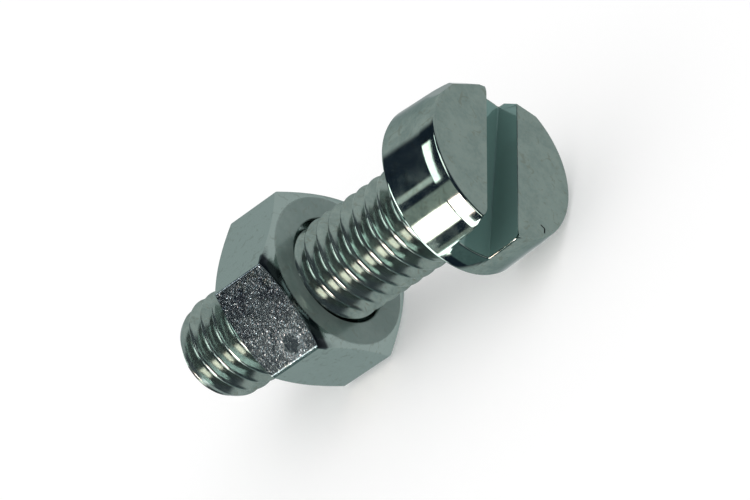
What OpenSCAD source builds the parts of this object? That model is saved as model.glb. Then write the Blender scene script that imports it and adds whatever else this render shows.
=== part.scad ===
// Slotted cheese head machine screw with a hexagon nut run onto its thread.
// It lies on its side: the screw's axis is X, +X points to the free thread end, +Z is up.
// The origin is on the axis, in the plane of the head's bearing face. Sizes are in mm.

/* [Screw] */
// Nominal thread diameter, over the crests
thread_d = 6; // [5.9:0.05:6]
// Thread pitch, one turn of the nut moves it this far
thread_pitch = 1; // [0.75:0.25:1]
// Turn of the thread about the axis, in degrees
thread_turn = 180; // [0:10:350]
// Length of the screw under the head
screw_length = 20.2; // [18.2:1:30.2]
// Length of the taper at the free end of the thread
tip_taper = 1.2; // [0.6:0.1:1.6]
// Radius of the end face of the thread
tip_r = 2.55; // [2.45:0.05:2.65]
// Length of the smooth neck under the head, up to the first thread
neck_length = 0.9; // [0.6:0.1:1.6]
// Diameter of the smooth neck
neck_d = 5.4; // [5.2:0.05:5.6]
// Radius of the hollow between neck and head
neck_fillet = 0.4; // [0.32:0.02:0.5]

/* [Head] */
// Largest diameter of the head, at its bearing side
head_d = 10.2; // [10:0.05:10.4]
// Height of the head
head_h = 4; // [3.7:0.1:4.2]
// Slope of the head's side, narrower to the top, in degrees
head_draft = 2.5; // [1:0.5:4]
// Height of the shoulder, where the side leans in more, under the top face
head_shoulder = 1; // [0.6:0.1:1.4]
// Slope of the shoulder, in degrees
shoulder_slope = 6; // [5:0.5:9]
// Radius of the rounded edge round the top face
head_edge_r = 0.15; // [0.1:0.05:0.3]
// Width of the bevel round the bearing face
head_rim = 0.2; // [0.1:0.05:0.3]

/* [Slot] */
// Width of the driver slot
slot_w = 2.2; // [1.8:0.1:2.4]
// Depth of the slot at the middle of the head
slot_depth = 1.9; // [1.6:0.1:2.2]
// Slope of the slot's floor along the slot, in degrees
slot_slope = 5; // [0:1:6]
// Turn of the slot about the axis, away from level, in degrees
slot_turn = -10; // [-90:1:90]
// Radius of the hollow corners along the slot's floor
slot_corner_r = 0.25; // [0.15:0.05:0.35]
// Radius of the rounded corners where the slot runs out through the head's side
slot_exit_r = 0.7; // [0.5:0.1:0.9]

/* [Nut] */
// Width of the nut across its flats
nut_s = 9.6; // [9.4:0.1:9.8]
// Height of the nut
nut_m = 4.75; // [4.55:0.05:5.2]
// Distance from the head's bearing face to the nut
nut_gap = 9.4; // [3.4:1:12.4]
// Diameter of the flat ring on each face, inside the bevelled corners
nut_face_d = 8.9; // [8.5:0.1:9.4]
// Slope of the bevelled corners, in degrees
nut_bevel = 25; // [20:1:30]
// Diameter of the mouth of the threaded hole
nut_mouth_d = 6.5; // [6.3:0.1:6.7]
// Room round the thread in the nut, on the radius
thread_clear = 0.05; // [0.03:0.01:0.08]

/* [Hidden] */
$fn = 96;
eps = 0.5;
thread_r = thread_d/2;
head_r = head_d/2;
neck_r = neck_d/2;
// the metric thread: 60 degrees between the flanks, a flat crest and a narrow flat root
crest_half = thread_pitch/16;
root_r = thread_r - 0.6134*thread_pitch;
root_half = thread_pitch/2 - crest_half - (thread_r - root_r)*tan(30);
thread_steps = 36;
thread_skin = 0.04;
neck_fade = 0.5;
nut_bore_r = thread_r - 0.5413*thread_pitch + thread_clear;
nut_mouth_depth = (nut_mouth_d/2 - nut_bore_r)*tan(30);
nut_corner_r = nut_s/2/cos(30);
nut_corner_x = (nut_corner_r + eps - nut_face_d/2)*tan(nut_bevel);
shoulder_x = head_shoulder - head_h;
shoulder_r = head_r + (shoulder_x + head_rim)*tan(head_draft);
// the round of the top edge stops a few degrees short of the face and of the shoulder
edge_stop = 6;
edge_top = [sin(edge_stop), -cos(edge_stop)]*head_edge_r;
edge_side = [cos(shoulder_slope + edge_stop), -sin(shoulder_slope + edge_stop)]*head_edge_r;
edge_x = -head_h - edge_top.y;
edge_r = shoulder_r + (edge_x + edge_side.y - shoulder_x)*tan(shoulder_slope) - edge_side.x;
edge_mid = [edge_r, edge_x];
// the rounded corners of the slot's ends meet its walls and the head's side at a few degrees
exit_reach = shoulder_r + 0.03;
exit_mid_z = slot_w/2 + slot_exit_r*cos(8);
exit_mid_y = sqrt(pow(exit_reach - slot_exit_r, 2) - pow(exit_mid_z, 2));
exit_side_z = exit_mid_z*exit_reach/(exit_reach - slot_exit_r);

module along_x() {
  rotate([0, 90, 0]) children();
}

module head_outline() {
  polygon([
    [0, -head_h],
    edge_mid + edge_top,
    edge_mid,
    edge_mid + edge_side,
    [shoulder_r, shoulder_x],
    [head_r, -head_rim],
    [head_r - head_rim, 0],
    [neck_r, 0],
    [neck_r, neck_length],
    [root_r - 0.1, neck_length + neck_fade],
    [0, neck_length + neck_fade]
  ]);
  intersection() {
    translate(edge_mid) circle(r = head_edge_r);
    polygon([edge_mid, edge_mid + 2*edge_top, edge_mid + 2*edge_side]);
  }
  difference() {
    translate([neck_r - 0.1, -0.1]) square([neck_fillet + 0.1, neck_fillet + 0.1]);
    translate([neck_r + neck_fillet, neck_fillet]) circle(r = neck_fillet);
  }
}

// the slot's cross section, its floor at y = 0 and open upwards
module slot_section() {
  translate([-slot_w/2, slot_corner_r]) square([slot_w, head_h + 2]);
  translate([-slot_w/2 + slot_corner_r, 0]) square([slot_w - 2*slot_corner_r, slot_corner_r + 0.1]);
  for (s = [-1, 1])
    translate([s*(slot_w/2 - slot_corner_r), slot_corner_r]) circle(r = slot_corner_r);
}

// puts its children on the slot's sloping floor
module on_floor() {
  translate([-head_h + slot_depth, 0, 0]) rotate([0, 0, -slot_slope]) children();
}

// what is cut away at one corner of the slot's end, seen along the screw
module exit_corner() {
  wall_z = slot_w/2 - slot_corner_r;
  difference() {
    translate([exit_mid_y, wall_z]) square([head_r, exit_side_z - wall_z]);
    translate([exit_mid_y, exit_mid_z]) circle(r = slot_exit_r);
  }
}

module slot_exits() {
  intersection() {
    translate([-head_h - 1, 0, 0])
      rotate([90, 0, 90])
        linear_extrude(height = head_h)
          for (turn = [0, 180])
            rotate(turn) {
              exit_corner();
              mirror([0, 1]) exit_corner();
            }
    on_floor() translate([-head_h, -head_d, -head_d]) cube([head_h, 2*head_d, 2*head_d]);
  }
}

module slot_cut() {
  rotate([slot_turn, 0, 0]) {
    on_floor()
      rotate([90, 0, 0])
        translate([0, 0, -head_d])
          linear_extrude(height = 2*head_d)
            rotate(90) slot_section();
    slot_exits();
  }
}

// the rod that the thread is rolled on, narrower at the neck and at the tip
module blank_outline() {
  polygon([
    [0, neck_length - 0.1],
    [neck_r - 0.15, neck_length - 0.1],
    [thread_r + thread_skin, neck_length + thread_r + thread_skin - neck_r + 0.05],
    [thread_r + thread_skin, screw_length - tip_taper],
    [tip_r, screw_length],
    [0, screw_length]
  ]);
}

// A threaded rod round X with whole turns from one place to the other, counted in pitches from the origin.
// Its facets stand at the same angles on every rod, so that a rod and the hole cut with a wider one run
// side by side. room widens it.
module threaded_rod(first, last, room = 0) {
  profile = [
    [-crest_half, thread_r + room],
    [crest_half, thread_r + room],
    [thread_pitch/2 - root_half, root_r + room],
    [thread_pitch/2 + root_half, root_r + room]
  ];
  rings = (last - first)*thread_steps;
  points = concat(
    [for (i = [0:rings]) let (x = thread_pitch*(first + i/thread_steps), turn = thread_turn + 360*i/thread_steps)
      for (p = profile) [x + p.x, p.y*cos(turn), p.y*sin(turn)]],
    [[thread_pitch*(first + 0.5), 0, 0], [thread_pitch*(last + 0.5), 0, 0]]
  );
  start = 4*(rings + 1);
  end = start + 1;
  whole_turn = 4*thread_steps;
  strips = [for (i = [0:rings - 1]) for (j = [0:2])
    [4*i + j, 4*i + j + 1, 4*i + j + 5, 4*i + j + 4]];
  roots = [for (i = [0:rings - thread_steps - 1])
    [4*i + 3, 4*i + whole_turn, 4*i + whole_turn + 4, 4*i + 7]];
  start_fan = concat(
    [for (i = [0:thread_steps - 1]) [start, 4*i, 4*i + 4]],
    [[start, whole_turn, 3], [start, 3, 2], [start, 2, 1], [start, 1, 0]]
  );
  stop = 4*rings;
  end_fan = concat(
    [for (i = [rings - thread_steps:rings - 1]) [end, 4*i + 7, 4*i + 3]],
    [[end, stop, stop - whole_turn + 3], [end, stop + 1, stop], [end, stop + 2, stop + 1], [end, stop + 3, stop + 2]]
  );
  polyhedron(points, concat(strips, roots, start_fan, end_fan), convexity = 20);
}

module screw() {
  color([0.66, 0.70, 0.69]) {
    difference() {
      along_x() rotate_extrude() head_outline();
      slot_cut();
    }
    intersection() {
      threaded_rod(-1, ceil(screw_length/thread_pitch) + 1);
      along_x() rotate_extrude() blank_outline();
    }
  }
}

module nut_outline() {
  polygon([
    [0, 0],
    [nut_face_d/2, 0],
    [nut_corner_r + eps, nut_corner_x],
    [nut_corner_r + eps, nut_m - nut_corner_x],
    [nut_face_d/2, nut_m],
    [0, nut_m]
  ]);
}

module nut_hole() {
  polygon([
    [0, -1],
    [nut_mouth_d/2, -1],
    [nut_mouth_d/2, 0],
    [nut_bore_r, nut_mouth_depth],
    [nut_bore_r, nut_m - nut_mouth_depth],
    [nut_mouth_d/2, nut_m],
    [nut_mouth_d/2, nut_m + 1],
    [0, nut_m + 1]
  ]);
}

module nut() {
  color([0.62, 0.67, 0.66])
    difference() {
      translate([nut_gap, 0, 0])
        along_x()
          difference() {
            intersection() {
              rotate(30) linear_extrude(height = nut_m) circle(r = nut_corner_r, $fn = 6);
              rotate_extrude() nut_outline();
            }
            rotate_extrude() nut_hole();
          }
      threaded_rod(floor(nut_gap/thread_pitch) - 1, ceil((nut_gap + nut_m)/thread_pitch) + 1, thread_clear);
    }
}

screw();
nut();
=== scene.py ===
import bpy
import bmesh
import math
from mathutils import Matrix, Vector

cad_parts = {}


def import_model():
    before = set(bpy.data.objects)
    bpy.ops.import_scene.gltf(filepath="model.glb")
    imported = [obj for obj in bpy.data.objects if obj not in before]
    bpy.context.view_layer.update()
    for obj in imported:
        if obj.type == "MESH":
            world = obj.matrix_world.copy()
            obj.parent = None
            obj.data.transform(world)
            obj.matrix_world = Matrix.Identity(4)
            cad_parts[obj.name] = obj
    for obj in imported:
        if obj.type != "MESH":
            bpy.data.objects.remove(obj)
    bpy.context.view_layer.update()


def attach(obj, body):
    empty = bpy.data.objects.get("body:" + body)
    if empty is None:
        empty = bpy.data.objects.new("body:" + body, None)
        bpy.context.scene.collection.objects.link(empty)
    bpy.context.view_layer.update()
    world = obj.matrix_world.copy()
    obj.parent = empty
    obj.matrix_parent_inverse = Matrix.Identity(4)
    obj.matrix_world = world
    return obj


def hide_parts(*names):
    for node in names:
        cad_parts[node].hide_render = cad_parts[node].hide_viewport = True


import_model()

MM = 0.001

# Sizes in mm and angles in degrees. Places along the screw's axis are measured from under its head
HEAD_R, HEAD_H, HEAD_DRAFT, HEAD_RIM = 5.1, 4.0, 2.5, 0.2
SHOULDER, SHOULDER_SLOPE, EDGE_ROUND = 1.0, 6.0, 0.15
NECK_R, NECK_END, NECK_HOLLOW, NECK_STUB_R = 2.7, 0.9, 0.4, 2.35
CREST_R, ROOT_R, PITCH = 3.0, 2.387, 1.0
SCREW_LENGTH, TIP_TAPER, TIP_R, TIP_EDGE = 20.2, 1.2, 2.55, 0.25
# How far the blank and the exit cutters stand outside the form that they meet
OUTSIDE = 0.04
SLOT_W, SLOT_DEPTH, SLOT_SLOPE, SLOT_TURN, SLOT_CORNER = 2.2, 1.9, 5.0, -10.0, 0.1
# The four corners of the slot's ends: which end, which wall, radius, and lean in degrees
SLOT_EXITS = [(1, 1, 0.7, 31), (1, -1, 0.5, 50), (-1, 1, 0.8, 10), (-1, -1, 0.6, 20)]
# Worn flats at the head's edge: angle about the axis, distance from it at the face, and tilt to the axis
WORN_FLATS = [(118, 4.68, 12), (143, 4.38, 32), (160, 4.31, 32), (176, 4.30, 32)]
# A small nick in the head's face, as points (y, z) of the face, and the nick's half width
NICK = [(2.64, -3.22), (2.70, -3.52), (3.05, -3.56)]
NICK_R = 0.05
NUT_START, NUT_M, NUT_S = 9.4, 4.75, 9.6
NUT_FACE_R, NUT_BEVEL, NUT_MOUTH_R, NUT_CREST_R = 4.45, 25.0, 3.25, 2.52
# The nut's pitted flat: the angle that it faces, and where it is rubbed smooth
ROUGH_AT, WORN_SPOT = 30, (11.25, 5.0, 0.8)
# Rounds of the nut's long edges: the angles about the axis that they lie between, and their size
NUT_EDGES = [(-10, 30, 0.2), (30, 90, 0.05), (90, 360, 0.16)]
# The threads: room between them, steps in a turn, and where in a pitch they start
THREAD_ROOM, TURN_STEPS, THREAD_PHASE = 0.04, 72, 0.75
# How near counts as the same place, and how near a cut may pass a corner
NEAR, CUT_NEAR = 0.01, 0.00001


# Hand tools
def rest():
    """Object mode with nothing selected."""
    if bpy.context.object and bpy.context.object.mode != "OBJECT":
        bpy.ops.object.mode_set(mode="OBJECT")
    bpy.ops.object.select_all(action="DESELECT")


def pick(piece):
    rest()
    piece.select_set(True)
    bpy.context.view_layer.objects.active = piece


def named(name):
    piece = bpy.context.object
    piece.name = name
    piece.data.name = name
    return piece


def settle(piece):
    """Puts the place of a new primitive into its mesh."""
    pick(piece)
    bpy.ops.object.transform_apply(location=True, rotation=True, scale=True)
    return piece


def choose(piece, kind, test):
    """Edit mode, with what passes the test selected. The test gets the middle of each part in mm."""
    pick(piece)
    bpy.ops.object.mode_set(mode="EDIT")
    bpy.ops.mesh.select_mode(type={"faces": "FACE", "edges": "EDGE", "verts": "VERT"}[kind])
    bpy.ops.mesh.select_all(action="DESELECT")
    mesh = bmesh.from_edit_mesh(piece.data)
    for part in getattr(mesh, kind):
        if kind == "verts":
            middle = part.co / MM
        elif kind == "edges":
            middle = (part.verts[0].co + part.verts[1].co) / 2 / MM
        else:
            middle = part.calc_center_median() / MM
        if test(middle, part):
            part.select_set(True)
    mesh.select_flush_mode()
    bmesh.update_edit_mesh(piece.data)


def done():
    bpy.ops.object.mode_set(mode="OBJECT")


def bar(name, x0, x1, r, sides=128):
    """A round or six-sided bar along the screw's axis. A six-sided one has flats above and below."""
    rest()
    bpy.ops.mesh.primitive_cylinder_add(
        vertices=sides, radius=r * MM, depth=(x1 - x0) * MM,
        location=((x0 + x1) / 2 * MM, 0, 0), rotation=(0, math.radians(90), 0))
    return settle(named(name))


def block(name, low, high):
    """A block between two corners."""
    rest()
    middle = [(a + b) / 2 * MM for a, b in zip(low, high)]
    size = [(b - a) * MM for a, b in zip(low, high)]
    bpy.ops.mesh.primitive_cube_add(size=1, location=middle, scale=size)
    return settle(named(name))


def rim(x):
    """The test for edges that run round the bar at x."""
    return lambda middle, edge: all(abs(v.co.x / MM - x) < NEAR for v in edge.verts)


def slice_at(piece, places):
    """New edges round the bar at each x."""
    pick(piece)
    bpy.ops.object.mode_set(mode="EDIT")
    for x in places:
        bpy.ops.mesh.select_all(action="SELECT")
        bpy.ops.mesh.bisect(plane_co=(x * MM, 0, 0), plane_no=(1, 0, 0), threshold=CUT_NEAR * MM)
    done()


def narrow(piece, x, factor):
    """Scales the bar's outline at x."""
    choose(piece, "verts", lambda middle, vert: abs(middle.x - x) < NEAR)
    bpy.ops.transform.resize(value=(1, factor, factor), center_override=(x * MM, 0, 0))
    done()


def cut(piece, tool, how="DIFFERENCE"):
    """Cuts the tool out of the piece, or joins it on, or keeps what both share. The tool is used up."""
    pick(piece)
    joiner = piece.modifiers.new(how.lower(), "BOOLEAN")
    joiner.operation = how
    joiner.solver = "EXACT"
    joiner.object = tool
    bpy.ops.object.modifier_apply(modifier=joiner.name)
    bpy.data.objects.remove(tool)
    return piece


def tidy(piece, apart=0.0005):
    """Merges doubles and points the faces outwards."""
    pick(piece)
    bpy.ops.object.mode_set(mode="EDIT")
    bpy.ops.mesh.select_all(action="SELECT")
    bpy.ops.mesh.remove_doubles(threshold=apart * MM)
    bpy.ops.mesh.normals_make_consistent(inside=False)
    done()
    return piece


def helix(name, profile, first, last):
    """A threaded rod from x = first to last. profile is one pitch: (x from the crest, radius)."""
    rest()
    turns = int(math.ceil((last - first) / PITCH)) + 3
    start = math.floor(first / PITCH) * PITCH - 1.5 * PITCH
    bpy.ops.mesh.primitive_plane_add(size=0.1 * MM, location=(0, 0, 0))
    rod = settle(named(name))
    pick(rod)
    bpy.ops.object.mode_set(mode="EDIT")
    bpy.ops.mesh.select_all(action="SELECT")
    bpy.ops.mesh.merge(type="CENTER")
    x, r = profile[0]
    bpy.ops.transform.translate(value=((start + 0.5 + x + THREAD_PHASE) * MM, 0, r * MM))
    for (xa, ra), (xb, rb) in zip(profile, profile[1:]):
        move = ((xb - xa) * MM, 0, (rb - ra) * MM)
        bpy.ops.mesh.extrude_region_move(TRANSFORM_OT_translate={"value": move})
    done()
    wind = rod.modifiers.new("wind", "SCREW")
    wind.axis = "X"
    wind.angle = 2 * math.pi
    wind.screw_offset = PITCH * MM
    wind.iterations = turns
    wind.steps = wind.render_steps = TURN_STEPS
    wind.use_merge_vertices = False
    wind.use_smooth_shade = True
    bpy.ops.object.modifier_apply(modifier="wind")
    bpy.ops.object.mode_set(mode="EDIT")
    bpy.ops.mesh.select_all(action="SELECT")
    bpy.ops.mesh.remove_doubles(threshold=0.001 * MM)
    for x, way in ((first, -1), (last, 1)):
        bpy.ops.mesh.select_all(action="SELECT")
        bpy.ops.mesh.bisect(plane_co=(x * MM, 0, 0), plane_no=(way, 0, 0), use_fill=True, clear_outer=True,
                            threshold=CUT_NEAR * MM)
    done()
    return tidy(rod)


# The screw
def blank():
    """The rod that the thread is rolled on, tapered at the tip and at the neck."""
    start, full, lean = NECK_END - 0.2, CREST_R + OUTSIDE, 0.12
    rod = bar("blank", start, SCREW_LENGTH, full)
    slice_at(rod, (NECK_END + 0.35, SCREW_LENGTH - TIP_TAPER, SCREW_LENGTH - TIP_EDGE))
    narrow(rod, start, (NECK_R - 0.25) / full)
    narrow(rod, SCREW_LENGTH - TIP_EDGE, (TIP_R + lean) / full)
    narrow(rod, SCREW_LENGTH, (TIP_R - lean) / full)
    choose(rod, "edges", rim(SCREW_LENGTH - TIP_EDGE))
    bpy.ops.mesh.bevel(offset=0.12 * MM, segments=3)
    done()
    return rod


def head():
    """Cheese head: a short bar that leans in toward its face, with a shoulder, a seat and the neck."""
    piece = bar("head", -HEAD_H, 0, HEAD_R, sides=160)
    shoulder_x = SHOULDER - HEAD_H
    shoulder_r = HEAD_R + shoulder_x * math.tan(math.radians(HEAD_DRAFT))
    top_r = shoulder_r - SHOULDER * math.tan(math.radians(SHOULDER_SLOPE))
    slice_at(piece, (shoulder_x,))
    narrow(piece, shoulder_x, shoulder_r / HEAD_R)
    narrow(piece, -HEAD_H, top_r / HEAD_R)
    choose(piece, "edges", rim(-HEAD_H))
    bpy.ops.mesh.bevel(offset=EDGE_ROUND * MM, segments=5, profile=0.5)
    done()
    choose(piece, "edges", rim(shoulder_x))
    bpy.ops.mesh.bevel(offset=0.06 * MM, segments=2)
    done()
    choose(piece, "edges", rim(0))
    bpy.ops.mesh.bevel(offset=HEAD_RIM * MM, segments=2)
    done()
    choose(piece, "faces", lambda middle, face: abs(middle.x) < NEAR and face.normal.x > 0.9)
    bpy.ops.mesh.inset(thickness=(HEAD_R - HEAD_RIM - NECK_R - NECK_HOLLOW) * MM)
    for part in range(4):
        a, b = math.radians(22.5 * part), math.radians(22.5 * (part + 1))
        r0 = NECK_R + NECK_HOLLOW * (1 - math.sin(a))
        r1 = NECK_R + NECK_HOLLOW * (1 - math.sin(b))
        rise = NECK_HOLLOW * (math.cos(a) - math.cos(b))
        bpy.ops.mesh.extrude_region_move(TRANSFORM_OT_translate={"value": (rise * MM, 0, 0)})
        bpy.ops.transform.resize(value=(1, r1 / r0, r1 / r0), center_override=(0, 0, 0))
    for length in (NECK_END - NECK_HOLLOW, 0.3):
        bpy.ops.mesh.extrude_region_move(TRANSFORM_OT_translate={"value": (length * MM, 0, 0)})
    stub = NECK_STUB_R / NECK_R
    bpy.ops.transform.resize(value=(1, stub, stub), center_override=(0, 0, 0))
    done()
    return piece


def on_floor():
    """The slot's own place: turned about the screw's axis, and sloped along its floor."""
    slope = Matrix.Rotation(math.radians(-SLOT_SLOPE), 4, "Z")
    turn = Matrix.Rotation(math.radians(SLOT_TURN), 4, "X")
    return turn @ Matrix.Translation(((-HEAD_H + SLOT_DEPTH) * MM, 0, 0)) @ slope


def exit_cutter(along, across, radius, lean):
    """What is cut off at one corner of the slot's end to round it. Its lean makes it fade with depth."""
    reach = HEAD_R + (SHOULDER - HEAD_H) * math.tan(math.radians(HEAD_DRAFT)) + OUTSIDE
    mid_z = SLOT_W / 2 + radius
    mid_y = math.sqrt((reach - radius) ** 2 - mid_z ** 2)
    side_z = mid_z * reach / (reach - radius)
    wall_z = SLOT_W / 2 - 0.02
    ys = sorted((along * mid_y, along * (mid_y + 4)))
    zs = sorted((across * wall_z, across * side_z))
    piece = block("exit", (-HEAD_H - 3, ys[0], zs[0]), (2, ys[1], zs[1]))
    post = bar("post", -HEAD_H - 4, 3, radius, sides=96)
    post.matrix_world = Matrix.Translation((0, along * mid_y * MM, across * mid_z * MM))
    settle(post)
    cut(piece, post)
    pivot = Matrix.Translation((-HEAD_H * MM, along * mid_y * MM, 0))
    leant = pivot @ Matrix.Rotation(math.radians(along * lean), 4, "Z") @ pivot.inverted()
    piece.matrix_world = Matrix.Rotation(math.radians(SLOT_TURN), 4, "X") @ leant
    settle(piece)
    above = block("above", (-6, -8, -8), (0, 8, 8))
    above.matrix_world = on_floor()
    settle(above)
    return cut(piece, above, "INTERSECT")


def slot_cutter():
    """The saw's path: a bar with small rounds at its lower corners, sloped along the slot."""
    saw = block("saw", (-8, -7, -SLOT_W / 2), (0, 7, SLOT_W / 2))
    choose(saw, "edges", lambda middle, edge: abs(middle.x) < NEAR and abs(middle.y) < NEAR)
    bpy.ops.mesh.bevel(offset=SLOT_CORNER * MM, segments=3)
    done()
    saw.matrix_world = on_floor()
    return settle(saw)


def worn_flat(piece, angle, reach, tilt):
    """One flat worn at the edge of the head's face."""
    turn, tilt = math.radians(angle), math.radians(tilt)
    out = Vector((0, math.cos(turn), math.sin(turn)))
    way = Vector((-math.sin(tilt), 0, 0)) + out * math.cos(tilt)
    pick(piece)
    bpy.ops.object.mode_set(mode="EDIT")
    bpy.ops.mesh.select_all(action="SELECT")
    at = (Vector((-HEAD_H, 0, 0)) + out * reach) * MM
    bpy.ops.mesh.bisect(plane_co=at, plane_no=way, use_fill=True, clear_outer=True, threshold=CUT_NEAR * MM)
    done()


def soften_exit(piece):
    """A narrow round on the sharp edges where the slot leaves the head, and on one of its long edges."""
    lean = math.radians(SLOT_TURN)

    def at_exit(middle, edge):
        across = middle.z * math.cos(lean) - middle.y * math.sin(lean)
        along = middle.y * math.cos(lean) + middle.z * math.sin(lean)
        out = math.hypot(middle.y, middle.z)
        sharp = len(edge.link_faces) == 2 and edge.calc_face_angle(0) > math.radians(35)
        low = -HEAD_H + 0.25 < middle.x < -1.4
        at_end = low and along > 3 and 4.6 < out < 5.09 and -1.2 < across < 0.95
        at_face = abs(middle.x + HEAD_H) < 0.02 and abs(across + SLOT_W / 2) < 0.03 and abs(along) < 3.4
        return sharp and (at_end or at_face)
    choose(piece, "edges", at_exit)
    bpy.ops.mesh.bevel(offset=0.07 * MM, segments=3)
    done()


def nick_cutter(start, end):
    """A fine round bar laid in the head's face between two points of it."""
    a, b = Vector((-HEAD_H, *start)), Vector((-HEAD_H, *end))
    piece = bar("nick", -(b - a).length / 2, (b - a).length / 2, NICK_R, sides=8)
    turn = Vector((1, 0, 0)).rotation_difference(b - a).to_matrix().to_4x4()
    piece.matrix_world = Matrix.Translation((a + b) / 2 * MM) @ turn
    return settle(piece)


def make_screw():
    """The head with its slot and wear, joined to a rod whose thread has rounded crests and roots."""
    profile = [(-0.5, ROOT_R), (-0.455, 2.394), (-0.415, 2.42), (-0.365, 2.476), (-0.135, 2.874),
               (-0.09, 2.94), (-0.045, 2.986), (0, CREST_R), (0.045, 2.986), (0.09, 2.94),
               (0.135, 2.874), (0.365, 2.476), (0.415, 2.42), (0.455, 2.394), (0.5, ROOT_R)]
    rod = helix("thread", profile, NECK_END - 0.1, SCREW_LENGTH - 0.001)
    cut(rod, blank(), "INTERSECT")
    top = head()
    for angle, reach, tilt in WORN_FLATS:
        worn_flat(top, angle, reach, tilt)
    cut(top, slot_cutter())
    for along, across, radius, lean in SLOT_EXITS:
        cut(top, exit_cutter(along, across, radius, lean))
    soften_exit(tidy(top))
    for start, end in zip(NICK, NICK[1:]):
        cut(top, nick_cutter(start, end))
    cut(top, rod, "UNION")
    top.name = top.data.name = "screw_body"
    return tidy(top)


# The nut
def nut_shape():
    """A six-sided bar with its long edges rounded and both faces bevelled."""
    corner = NUT_S / 2 / math.cos(math.radians(30))
    piece = bar("nut", NUT_START, NUT_START + NUT_M, corner, sides=6)

    def long_edge(low, high):
        def test(middle, edge):
            angle = (math.degrees(math.atan2(middle.z, middle.y)) + 10) % 360 - 10
            at_corner = math.hypot(middle.y, middle.z) > corner - NEAR
            long = abs(edge.verts[0].co.x - edge.verts[1].co.x) > 1 * MM
            return long and at_corner and low < angle < high
        return test
    for low, high, size in NUT_EDGES:
        choose(piece, "edges", long_edge(low, high))
        bpy.ops.mesh.bevel(offset=size * MM, segments=4)
        done()
    wide = corner + 0.5
    disc = bar("bevelled", NUT_START, NUT_START + NUT_M, wide, sides=192)
    reach = (wide - NUT_FACE_R) * math.tan(math.radians(NUT_BEVEL))
    slice_at(disc, (NUT_START + reach, NUT_START + NUT_M - reach))
    for x in (NUT_START, NUT_START + NUT_M):
        narrow(disc, x, NUT_FACE_R / wide)
    return cut(piece, disc, "INTERSECT")


def nut_tap():
    """The tap that cuts the nut's thread: the screw's own thread with a little room round it."""
    deepest = CREST_R + THREAD_ROOM
    profile = [(-0.5, NUT_CREST_R), (-0.36, NUT_CREST_R), (-0.14, 2.90), (-0.07, deepest),
               (0.07, deepest), (0.14, 2.90), (0.36, NUT_CREST_R), (0.5, NUT_CREST_R)]
    return helix("tap", profile, NUT_START - 0.6, NUT_START + NUT_M + 0.6)


def countersink(x, way):
    """A cone that opens the hole's mouth. way is the side that it opens to."""
    deep, clear, inner = 0.62, 0.4, NUT_CREST_R - 0.1
    a, b = (x - clear, x + deep) if way < 0 else (x - deep, x + clear)
    wide = NUT_MOUTH_R + clear * (NUT_MOUTH_R - inner) / deep
    piece = bar("sink", a, b, wide, sides=144)
    narrow(piece, b if way < 0 else a, inner / wide)
    return piece


def make_nut():
    """The hexagon, tapped right through and opened at both mouths."""
    piece = nut_shape()
    cut(piece, nut_tap())
    cut(piece, countersink(NUT_START, -1))
    cut(piece, countersink(NUT_START + NUT_M, 1))
    piece.name = piece.data.name = "hex_nut"
    return tidy(piece)


def smooth(piece, angle=28):
    """Smooth shading that keeps the large faces flat, so that reflections break at the edges."""
    pick(piece)
    bpy.ops.object.shade_smooth_by_angle(angle=math.radians(angle))
    weigh = piece.modifiers.new("weigh", "WEIGHTED_NORMAL")
    weigh.keep_sharp = True
    weigh.weight = 90
    bpy.ops.object.modifier_apply(modifier=weigh.name)


screw = make_screw()
nut = make_nut()
for piece in (screw, nut):
    smooth(piece)

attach(screw, "screw")
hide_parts("screw")
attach(nut, "nut")
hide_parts("nut")


# Finishes
def group(name, inputs, outputs):
    """A node group with its sockets: (name, kind, value) in, (name, kind) out."""
    tree = bpy.data.node_groups.new(name, "ShaderNodeTree")
    for label, kind, value in inputs:
        socket = tree.interface.new_socket(label, in_out="INPUT", socket_type="NodeSocket" + kind)
        if value is not None:
            socket.default_value = value
    for label, kind in outputs:
        tree.interface.new_socket(label, in_out="OUTPUT", socket_type="NodeSocket" + kind)
    return tree, tree.nodes.new("NodeGroupInput"), tree.nodes.new("NodeGroupOutput")


def node(tree, kind, links=None, **settings):
    """A node with its settings, its inputs linked from sockets or set to values."""
    made = tree.nodes.new("ShaderNode" + kind)
    for key, value in settings.items():
        setattr(made, key, value)
    for key, value in (links or {}).items():
        if isinstance(value, bpy.types.NodeSocket):
            tree.links.new(value, made.inputs[key])
        else:
            made.inputs[key].default_value = value
    return made


def math_node(tree, operation, a, b=0.0, c=0.0, clamp=False):
    return node(tree, "Math", {0: a, 1: b, 2: c}, operation=operation, use_clamp=clamp).outputs[0]


def times(tree, a, b):
    return math_node(tree, "MULTIPLY", a, b)


def plus(tree, a, share, b):
    """b with a share of a added."""
    return math_node(tree, "MULTIPLY_ADD", a, share, b)


def along(tree, axes, angle):
    """How far out a place lies in the direction at this angle about the screw's axis."""
    turn = math.radians(angle)
    return plus(tree, axes[1], math.cos(turn), times(tree, axes[2], math.sin(turn)))


def distance(tree, place, point):
    """How far a place lies from a point given in mm."""
    goal = tuple(v * MM for v in point)
    return node(tree, "VectorMath", {0: place, 1: goal}, operation="DISTANCE").outputs["Value"]


def blend(tree, factor, a, b, kind="RGBA"):
    """Mixes two colours, or two numbers."""
    made = node(tree, "Mix", data_type=kind, clamp_factor=True)
    slots = (6, 7, 2) if kind == "RGBA" else (2, 3, 0)
    for slot, value in zip((0, slots[0], slots[1]), (factor, a, b)):
        if isinstance(value, bpy.types.NodeSocket):
            tree.links.new(value, made.inputs[slot])
        else:
            made.inputs[slot].default_value = value
    return made.outputs[slots[2]]


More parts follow.
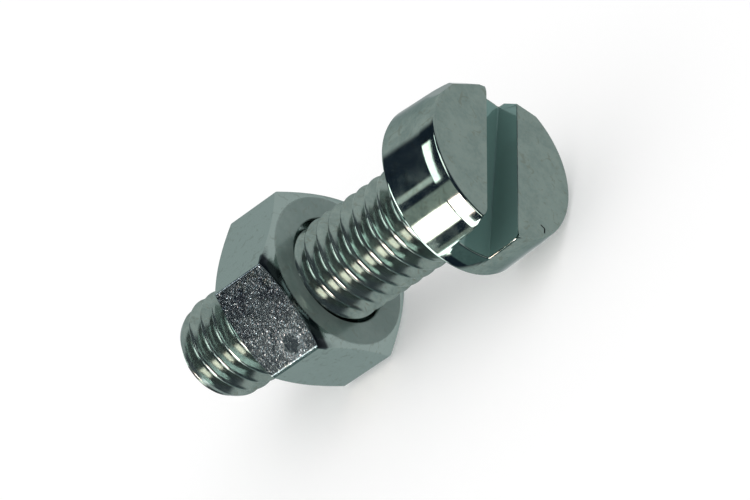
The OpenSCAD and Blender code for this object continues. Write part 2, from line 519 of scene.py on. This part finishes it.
def step(tree, value, low, high):
    """0 at low, 1 at high, and a soft change between them."""
    ends = {0: value, 1: low, 2: high, 3: 0.0, 4: 1.0}
    return node(tree, "MapRange", ends, interpolation_type="SMOOTHSTEP").outputs[0]


def plating_group():
    """Blotches and fine grain of the zinc, as masks that run from 0 to 1."""
    tree, enter, leave = group("zinc_plating", [("Place", "Vector", None)],
                               [("Blotches", "Float"), ("Grain", "Float"), ("Marks", "Float")])
    place = enter.outputs["Place"]
    blotch = node(tree, "TexNoise", {"Vector": place, "Scale": 900.0, "Detail": 4.0, "Roughness": 0.6})
    grain = node(tree, "TexNoise", {"Vector": place, "Scale": 5200.0, "Detail": 3.0, "Roughness": 0.7})
    marks = node(tree, "TexNoise", {"Vector": place, "Scale": 1900.0, "Detail": 3.0, "Roughness": 0.6,
                                    "Distortion": 1.2})
    tree.links.new(step(tree, blotch.outputs[0], 0.35, 0.65), leave.inputs["Blotches"])
    tree.links.new(step(tree, grain.outputs[0], 0.3, 0.7), leave.inputs["Grain"])
    tree.links.new(step(tree, marks.outputs[0], 0.56, 0.68), leave.inputs["Marks"])
    return tree


def scratch_group():
    """Fine scratches that run across a face, as a height."""
    tree, enter, leave = group("scratches", [("Place", "Vector", None)], [("Height", "Float")])
    total = None
    for turn, scale in ((0.5, 420.0), (1.9, 520.0), (2.7, 380.0)):
        turned = node(tree, "Mapping", {"Vector": enter.outputs["Place"], "Rotation": (turn, 0.0, 0.0),
                                        "Scale": (1.0, 12.0, 1.0)})
        lines = node(tree, "TexNoise", {"Vector": turned.outputs[0], "Scale": scale, "Detail": 2.0,
                                        "Roughness": 0.5})
        line = step(tree, lines.outputs[0], 0.62, 0.68)
        total = line if total is None else math_node(tree, "MAXIMUM", total, line)
    tree.links.new(total, leave.inputs["Height"])
    return tree


def pit_group():
    """Small pits of a flat that was left rough, and bright specks that are painted glints, as a height and
    a mask.
    """
    tree, enter, leave = group("pits", [("Place", "Vector", None)],
                               [("Height", "Float"), ("Specks", "Float")])
    place = enter.outputs["Place"]
    cells = node(tree, "TexVoronoi", {"Vector": place, "Scale": 4600.0}, feature="F1")
    rough = node(tree, "TexNoise", {"Vector": place, "Scale": 6500.0, "Detail": 4.0, "Roughness": 0.75})
    dent = step(tree, cells.outputs["Distance"], 0.05, 0.55)
    tree.links.new(math_node(tree, "MULTIPLY_ADD", rough.outputs[0], 1.2, dent), leave.inputs["Height"])
    tree.links.new(step(tree, rough.outputs[0], 0.58, 0.68), leave.inputs["Specks"])
    return tree


PLATING, SCRATCHES, PITS = plating_group(), scratch_group(), pit_group()
ZINC_LIGHT, ZINC_DARK = (0.250, 0.316, 0.293, 1), (0.182, 0.241, 0.226, 1)
ZINC_GRAIN, ZINC_MARK = (0.29, 0.33, 0.29, 1), (0.17, 0.19, 0.155, 1)
# The slot's teal is painted light in the recess, and the nick's near black is painted shade.
SLOT_PAINTED_TEAL_LIGHT, NICK_PAINTED_SHADE = (0.16, 0.27, 0.25, 1), (0.015, 0.018, 0.02, 1)
# The nut's flats are painted lighter and its near face painted darker as shade; its blotches are random
# tone.
NUT_SIDE_PAINTED_LIGHTER, NUT_MARK = (0.285, 0.352, 0.333, 1), (0.14, 0.155, 0.13, 1)
NUT_FACE_SHADED_LIGHT, NUT_FACE_SHADED_DARK = (0.195, 0.252, 0.237, 1), (0.165, 0.222, 0.207, 1)
# The pitted flat's two colours, mixed by random blotches and by painted light toward its lower edge.
ROUGH_LIGHT, ROUGH_DARK = (0.15, 0.18, 0.195, 1), (0.02, 0.026, 0.036, 1)
# The bright specks are painted glints, the rubbed colour is wear, and the lip's near black is a painted
# dark reflection.
ROUGH_PAINTED_GLINT, RUBBED, LIP_PAINTED_DARK_REFLECTION = (0.75, 0.8, 0.84, 1), (0.17, 0.205, 0.22, 1), (0.05, 0.06, 0.065, 1)


def use(tree, what, place):
    """The outputs of a node group at a place."""
    made = tree.nodes.new("ShaderNodeGroup")
    made.node_tree = what
    tree.links.new(place, made.inputs["Place"])
    return made.outputs


def zinc_base(name):
    """A plain metal. Hands back its look, tree, shader, place, the place's three axes and the plating."""
    mat = bpy.data.materials.new(name)
    mat.use_nodes = True
    tree = mat.node_tree
    shader = tree.nodes["Principled BSDF"]
    shader.inputs["Metallic"].default_value = 1
    shader.inputs["Specular Tint"].default_value = (0.5, 0.55, 0.55, 1)
    place = node(tree, "TexCoord").outputs["Object"]
    axes = node(tree, "SeparateXYZ", {0: place}).outputs
    return mat, tree, shader, place, axes, use(tree, PLATING, place)


def screw_zinc():
    """Satin on the face, shiny on the head's side, painted teal light in the slot, painted shade in the
    nick, and in between on the thread.
    """
    mat, tree, shader, place, axes, plating = zinc_base("screw_zinc_look")

    def from_face(depth_none, depth_full):
        return step(tree, axes[0], (-HEAD_H + depth_none) * MM, (-HEAD_H + depth_full) * MM)
    face = from_face(0.03, 0.01)
    side = times(tree, from_face(0.02, 0.1), step(tree, axes[0], 0.3 * MM, 0.1 * MM))
    shank = step(tree, axes[0], 0.1 * MM, 0.3 * MM)
    across = math_node(tree, "ABSOLUTE", along(tree, axes, SLOT_TURN + 90))
    flat = node(tree, "CombineXYZ", {1: axes[1], 2: axes[2]}).outputs[0]
    out = node(tree, "VectorMath", {0: flat}, operation="LENGTH").outputs["Value"]
    slot = step(tree, across, (SLOT_W / 2 + 0.03) * MM, (SLOT_W / 2 + 0.01) * MM)
    for limit in (from_face(0.01, 0.06), from_face(2.5, 2.4), step(tree, out, 4.96 * MM, 4.86 * MM)):
        slot = times(tree, slot, limit)
    nick = step(tree, distance(tree, place, (-HEAD_H, 2.8, -3.42)), 0.5 * MM, 0.45 * MM)
    for limit in (from_face(0.006, 0.012), step(tree, out, 4.66 * MM, 4.62 * MM)):
        nick = times(tree, nick, limit)
    tree.links.new(plus(tree, shank, -0.14, plus(tree, slot, -0.55, 1.0)), shader.inputs["Metallic"])

    satin = blend(tree, plating["Blotches"], 0.30, 0.40, "FLOAT")
    shiny = blend(tree, plating["Blotches"], 0.06, 0.10, "FLOAT")
    thread = blend(tree, plating["Blotches"], 0.12, 0.17, "FLOAT")
    rough = blend(tree, face, blend(tree, side, thread, shiny, "FLOAT"), satin, "FLOAT")
    tree.links.new(rough, shader.inputs["Roughness"])

    colour = blend(tree, plating["Blotches"], ZINC_DARK, ZINC_LIGHT)
    colour = blend(tree, times(tree, plating["Grain"], 0.35), colour, ZINC_GRAIN)
    colour = blend(tree, times(tree, plating["Marks"], 0.5), colour, ZINC_MARK)
    # Painted light: the slot is painted teal, standing in for the teal light in the recess.
    colour = blend(tree, slot, colour, SLOT_PAINTED_TEAL_LIGHT)
    # Painted shade: the inside of the nick's groove is painted near black.
    tree.links.new(blend(tree, nick, colour, NICK_PAINTED_SHADE), shader.inputs["Base Color"])

    height = times(tree, plating["Grain"], blend(tree, face, 0.15, 1.0, "FLOAT"))
    height = plus(tree, use(tree, SCRATCHES, place)["Height"], times(tree, face, -0.6), height)
    bump = node(tree, "Bump", {"Strength": 0.25, "Distance": 0.006 * MM, "Height": height})
    tree.links.new(bump.outputs[0], shader.inputs["Normal"])
    return mat


def nut_zinc():
    """Bright on the flats and dull on the near face, with painted light and shade: the flats painted
    lighter, the near face painted darker. One flat pitted, with painted glints and painted light toward its
    lower edge, rubbed smooth in one place; the bevel beside it holds a painted dark reflection.
    """
    mat, tree, shader, place, axes, plating = zinc_base("nut_zinc_look")
    blotches, pits = plating["Blotches"], use(tree, PITS, place)
    toward = along(tree, axes, ROUGH_AT)
    pitted = step(tree, toward, (NUT_S / 2 - 0.06) * MM, (NUT_S / 2 - 0.02) * MM)
    elsewhere = math_node(tree, "SUBTRACT", 1.0, pitted)
    front = step(tree, axes[0], (NUT_START + 0.06) * MM, (NUT_START + 0.01) * MM)
    lip = step(tree, axes[0], (NUT_START + 0.6) * MM, (NUT_START + 0.55) * MM)
    lip = math_node(tree, "SUBTRACT", lip, front)
    # Painted reflection: the bevel strip beside the pitted flat is painted near black, standing in for a
    # dark reflection.
    painted_reflection_band = times(tree, times(tree, lip, step(tree, toward, 4.1 * MM, 4.3 * MM)), elsewhere)
    spot = plus(tree, plating["Grain"], 0.35 * MM, distance(tree, place, WORN_SPOT))
    rubbed = times(tree, step(tree, spot, 1.15 * MM, 0.6 * MM), pitted)
    tree.links.new(plus(tree, times(tree, front, elsewhere), -0.6, 1.0), shader.inputs["Metallic"])

    satin = blend(tree, lip, blend(tree, blotches, 0.17, 0.24, "FLOAT"), 0.1, "FLOAT")
    tree.links.new(blend(tree, pitted, satin, 0.12, "FLOAT"), shader.inputs["Roughness"])

    # Painted light: the pitted flat is painted lighter toward its lower edge, on top of its random
    # blotches.
    down = step(tree, along(tree, axes, ROUGH_AT - 90), -2.4 * MM, 2.6 * MM)
    blotches_and_painted_light = math_node(tree, "MULTIPLY_ADD", blotches, 0.6, times(tree, down, 0.7), clamp=True)
    # Painted light and shade: the flats get a lighter colour than the near face, which is painted darker.
    colour = blend(tree, front, NUT_SIDE_PAINTED_LIGHTER, blend(tree, blotches, NUT_FACE_SHADED_DARK, NUT_FACE_SHADED_LIGHT))
    colour = blend(tree, pitted, colour, blend(tree, blotches_and_painted_light, ROUGH_DARK, ROUGH_LIGHT))
    # Marks and the rubbed spot are wear; the lip band is a painted dark reflection and the specks are
    # painted glints.
    for share, over in ((times(tree, plating["Marks"], 0.3), NUT_MARK), (rubbed, RUBBED), (painted_reflection_band, LIP_PAINTED_DARK_REFLECTION),
                        (times(tree, pits["Specks"], pitted), ROUGH_PAINTED_GLINT)):
        colour = blend(tree, share, colour, over)
    tree.links.new(colour, shader.inputs["Base Color"])

    height = blend(tree, pitted, times(tree, plating["Grain"], 0.08), pits["Height"], "FLOAT")
    height = times(tree, height, plus(tree, rubbed, -0.7, 1.0))
    bump = node(tree, "Bump", {"Strength": 0.8, "Distance": 0.01 * MM, "Height": height})
    tree.links.new(bump.outputs[0], shader.inputs["Normal"])
    return mat


for piece, look in ((screw, screw_zinc()), (nut, nut_zinc())):
    piece.data.materials.clear()
    piece.data.materials.append(look)


# Stage
def stage_floor():
    """A white floor that keeps the shadow. What shines sees past it to the studio."""
    rest()
    bpy.ops.mesh.primitive_plane_add(size=4, location=(0, 0, -HEAD_R * MM))
    floor = named("floor")
    mat = bpy.data.materials.new("floor_white")
    mat.use_nodes = True
    tree = mat.node_tree
    shader = tree.nodes["Principled BSDF"]
    rays = node(tree, "LightPath").outputs
    shader.inputs["Base Color"].default_value = (0.72, 0.72, 0.72, 1)
    shader.inputs["Roughness"].default_value = 1
    shader.inputs["Specular IOR Level"].default_value = 0
    shader.inputs["Emission Color"].default_value = (1, 1, 1, 1)
    tree.links.new(times(tree, rays["Is Camera Ray"], 0.3), shader.inputs["Emission Strength"])
    clear = node(tree, "BsdfTransparent").outputs[0]
    floor_or_studio = node(tree, "MixShader", {0: rays["Is Glossy Ray"], 1: shader.outputs[0], 2: clear})
    tree.links.new(floor_or_studio.outputs[0], tree.nodes["Material Output"].inputs["Surface"])
    floor.data.materials.append(mat)


def camera():
    """A long lens that looks down on the screw from its head end, as fitted to the photo."""
    data = bpy.data.cameras.new("view")
    eye = bpy.data.objects.new("view", data)
    bpy.context.scene.collection.objects.link(eye)
    right = Vector((-0.6535, -0.14113, -0.74365))
    up = Vector((-0.45038, -0.71712, 0.53188))
    back = Vector((-0.60835, 0.68251, 0.40507))
    place = Vector((-140.944, 165.575, 97.998)) * MM
    eye.matrix_world = Matrix.Translation(place) @ Matrix((right, up, back)).transposed().to_4x4()
    data.sensor_width = 36
    data.lens = 213.54
    data.clip_start = 0.005
    data.clip_end = 20
    bpy.context.scene.camera = eye


def lamp_group():
    """Share of a lamp in a direction. Along is its part along the screw, Round its angle about it."""
    tree, enter, leave = group("lamp", [("Along", "Float", 0.0), ("Round", "Float", 0.0),
                                        ("Along Middle", "Float", 0.5), ("Along Half", "Float", 0.1),
                                        ("Round Middle", "Float", 0.0), ("Round Half", "Float", 10.0)],
                               [("Share", "Float")])
    share = None
    for label, sharp in (("Round", 0.4), ("Along", 60.0)):
        middle, half = (enter.outputs[label + end] for end in (" Middle", " Half"))
        aside = math_node(tree, "ABSOLUTE", math_node(tree, "SUBTRACT", enter.outputs[label], middle))
        inside = math_node(tree, "SUBTRACT", half, aside)
        within = math_node(tree, "MULTIPLY_ADD", inside, sharp, 0.5, clamp=True)
        share = within if share is None else times(tree, share, within)
    tree.links.new(share, leave.inputs["Share"])
    return tree


# Each lamp: middle and half along, middle and half round in degrees, colour of its light
LAMPS = [
    ("main", 0.2, 0.235, 11.0, 13.0, (18.0, 12.6, 11.5)),
    ("main_top", 0.545, 0.03, 11.0, 13.0, (13.0, 11.6, 10.0)),
    ("main_low", 0.42, 0.04, -4.0, 14.0, (8.0, 7.8, 7.4)),
    ("edge_strip", 0.42, 0.055, 74.0, 24.0, (5.0, 5.2, 4.8)),
    ("round_strip", -0.25, 0.12, 74.0, 26.0, (5.0, 5.2, 5.0)),
    ("crest_strip", 0.72, 0.1, 64.0, 22.0, (9.0, 9.4, 9.0)),
    ("crest_low", 0.70, 0.12, -18.0, 18.0, (7.0, 7.2, 6.8)),
    ("flat_card", 0.61, 0.05, 28.0, 10.0, (0.2, 0.21, 0.22)),
    ("back_high", -0.6, 0.13, 71.0, 13.0, (4.5, 4.4, 4.2)),
    ("back_low", -0.6, 0.13, -4.0, 13.0, (5.0, 4.8, 4.4)),
    ("tip_glow", 0.89, 0.085, -15.0, 50.0, (4.0, 4.0, 4.0)),
    ("thin_card", 0.52, 0.05, 57.0, 3.5, (1.3, 1.35, 1.25)),
    ("side_card", 0.35, 0.25, 34.0, 9.0, (0.55, 0.6, 0.55)),
    ("low_card", 0.54, 0.05, -30.0, 13.0, (0.6, 0.62, 0.56)),
    ("low_glow", 0.25, 0.4, -45.0, 22.0, (0.2, 0.3, 0.3)),
]
# The direction that the white sheet hangs away from, its colour, and the dark room's
SHEET_AWAY, SHEET = (0.0, 0.91, 0.415), (0.86, 0.88, 0.88, 1)
ROOM = (0.03, 0.045, 0.07, 1)


def world():
    """A white room for the floor. What shines sees a white sheet, a dark room and its lamps instead."""
    sky = bpy.data.worlds.new("studio")
    bpy.context.scene.world = sky
    sky.use_nodes = True
    tree = sky.node_tree
    plain = tree.nodes["Background"]
    plain.inputs["Color"].default_value = (1, 1, 1, 1)
    way = node(tree, "TexCoord").outputs["Generated"]
    parts = node(tree, "SeparateXYZ", {0: way}).outputs
    around = times(tree, math_node(tree, "ARCTAN2", parts[2], parts[1]), math.degrees(1))
    away = node(tree, "VectorMath", {0: way, 1: SHEET_AWAY}, operation="DOT_PRODUCT").outputs["Value"]
    sheet = times(tree, step(tree, away, 0.0, -0.15), step(tree, parts[0], -0.93, -0.84))
    sheet = times(tree, sheet, step(tree, parts[0], 0.985, 0.95))
    light = blend(tree, sheet, ROOM, SHEET)
    lamp = lamp_group()
    for label, middle, half, turn, reach, colour in LAMPS:
        made = tree.nodes.new("ShaderNodeGroup")
        made.node_tree, made.label = lamp, label
        tree.links.new(parts[0], made.inputs["Along"])
        tree.links.new(around, made.inputs["Round"])
        for name, value in (("Along Middle", middle), ("Along Half", half), ("Round Middle", turn),
                            ("Round Half", reach)):
            made.inputs[name].default_value = value
        light = blend(tree, made.outputs["Share"], light, (*colour, 1))
    seen = node(tree, "Background", {"Color": light, "Strength": 1.0})
    shine = node(tree, "LightPath").outputs["Is Glossy Ray"]
    both = node(tree, "MixShader", {0: shine, 1: plain.outputs[0], 2: seen.outputs[0]})
    tree.links.new(both.outputs[0], tree.nodes["World Output"].inputs["Surface"])


stage_floor()
camera()
world()
bpy.context.scene.view_settings.view_transform = "Standard"
